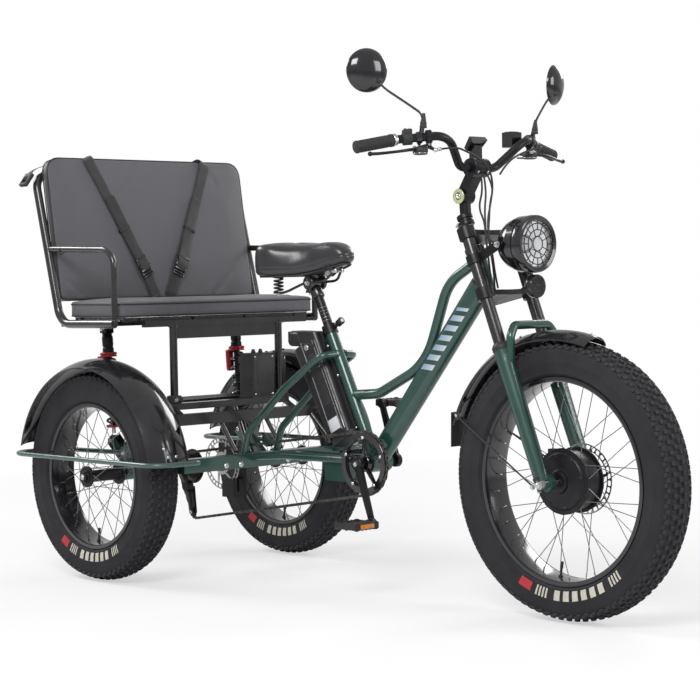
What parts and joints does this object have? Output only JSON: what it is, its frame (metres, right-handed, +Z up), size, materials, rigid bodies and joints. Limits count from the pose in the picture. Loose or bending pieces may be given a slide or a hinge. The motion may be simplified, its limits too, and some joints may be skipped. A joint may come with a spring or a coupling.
{
  "type": "electric tricycle",
  "caption": "Fat-tyred electric tricycle: step-through frame, double-crown front fork, pedal drive and a padded two-place bench with straps over the rear wheels.",
  "frame": {"origin": "middle of the footprint, on the floor, half way between the front of the front tyre and the back of the wheel guards", "axes": "+X ahead, +Y to the rider's left, +Z up"},
  "size_m": [2.1609, 0.918, 1.4384],
  "materials": {
    "frame_green": "gloss",
    "guard_grey": "gloss",
    "black_tube": "gloss",
    "black_alloy": "gloss",
    "tyre_rubber": "matte",
    "spoke_steel": "satin",
    "bright_steel": "polished",
    "brake_steel": "satin",
    "black_gloss_plastic": "gloss",
    "black_matte_plastic": "matte",
    "soft_grip": "matte",
    "seat_vinyl": "satin",
    "saddle_cover": "gloss",
    "webbing": "matte",
    "lens": "clear",
    "mirror_glass": "polished"
  },
  "bodies": {
    "frame": {"main_frame": "frame_green", "rear_stays": "frame_green", "axle_housing": "frame_green", "rear_axle": "bright_steel", "rear_brake_rotor": "brake_steel", "rear_brake_caliper": "black_alloy", "rear_fenders": "black_gloss_plastic", "wheel_guards": "guard_grey", "rear_platform": "black_tube", "bench_frame": "black_tube", "bench_seat_cushion": "seat_vinyl", "bench_back_cushion": "seat_vinyl", "bench_straps": "webbing", "shock_absorbers": "black_alloy", "shock_springs": "black_tube", "control_boxes": "black_gloss_plastic", "battery": "black_gloss_plastic", "battery_cradle": "black_matte_plastic", "saddle": "saddle_cover", "saddle_rails": "black_tube", "seatpost": "black_alloy", "seatpost_clamp": "black_alloy", "chain": "brake_steel", "cassette": "brake_steel", "derailleur": "black_alloy"},
    "steering": {"fork_crowns": "black_alloy", "fork_stanchions": "black_alloy", "fork_lowers": "frame_green", "front_axle": "bright_steel", "front_fender": "black_gloss_plastic", "front_brake_caliper": "black_alloy", "stem": "black_alloy", "handlebar": "black_alloy", "grips": "soft_grip", "brake_levers": "black_alloy", "display": "black_gloss_plastic", "mirrors": "black_gloss_plastic", "mirror_glasses": "mirror_glass", "headlight_housing": "black_gloss_plastic", "headlight_lens": "lens", "headlight_bracket": "black_alloy", "horn": "black_matte_plastic", "cables": "black_matte_plastic"},
    "front_wheel": {"front_tyre": "tyre_rubber", "front_rim": "black_alloy", "front_spokes": "spoke_steel", "front_hub_motor": "black_alloy", "front_brake_rotor": "brake_steel"},
    "rear_wheel_left": {"rear_tyre_left": "tyre_rubber", "rear_rim_left": "black_alloy", "rear_spokes_left": "spoke_steel", "rear_hub_left": "black_alloy"},
    "rear_wheel_right": {"rear_tyre_right": "tyre_rubber", "rear_rim_right": "black_alloy", "rear_spokes_right": "spoke_steel", "rear_hub_right": "black_alloy"},
    "crank": {"crank_arms": "black_alloy", "chainring": "brake_steel"},
    "pedal_left": {"pedal_left": "black_matte_plastic"},
    "pedal_right": {"pedal_right": "black_matte_plastic"}
  },
  "joints": [
    {"name": "steering", "type": "hinge", "parent": "frame", "child": "steering", "pos_m": [0.642, 0, 0.3535], "axis": [-0.3665, 0, 0.9304], "range_deg": [-50, 50]},
    {"name": "front_wheel_spin", "type": "hinge", "parent": "steering", "child": "front_wheel", "pos_m": [0.727, 0, 0.3535], "axis": [0, 1, 0], "continuous": true},
    {"name": "rear_wheel_left_spin", "type": "hinge", "parent": "frame", "child": "rear_wheel_left", "pos_m": [-0.736, 0.362, 0.305], "axis": [0, 1, 0], "continuous": true},
    {"name": "rear_wheel_right_spin", "type": "hinge", "parent": "frame", "child": "rear_wheel_right", "pos_m": [-0.736, -0.362, 0.305], "axis": [0, 1, 0], "continuous": true},
    {"name": "crank_spin", "type": "hinge", "parent": "frame", "child": "crank", "pos_m": [0.036, 0, 0.36], "axis": [0, 1, 0], "continuous": true},
    {"name": "pedal_right_spin", "type": "hinge", "parent": "crank", "child": "pedal_right", "pos_m": [0.10785, -0.15, 0.20593], "axis": [0, 1, 0], "continuous": true},
    {"name": "pedal_left_spin", "type": "hinge", "parent": "crank", "child": "pedal_left", "pos_m": [-0.03585, 0.15, 0.51407], "axis": [0, 1, 0], "continuous": true}
  ]
}
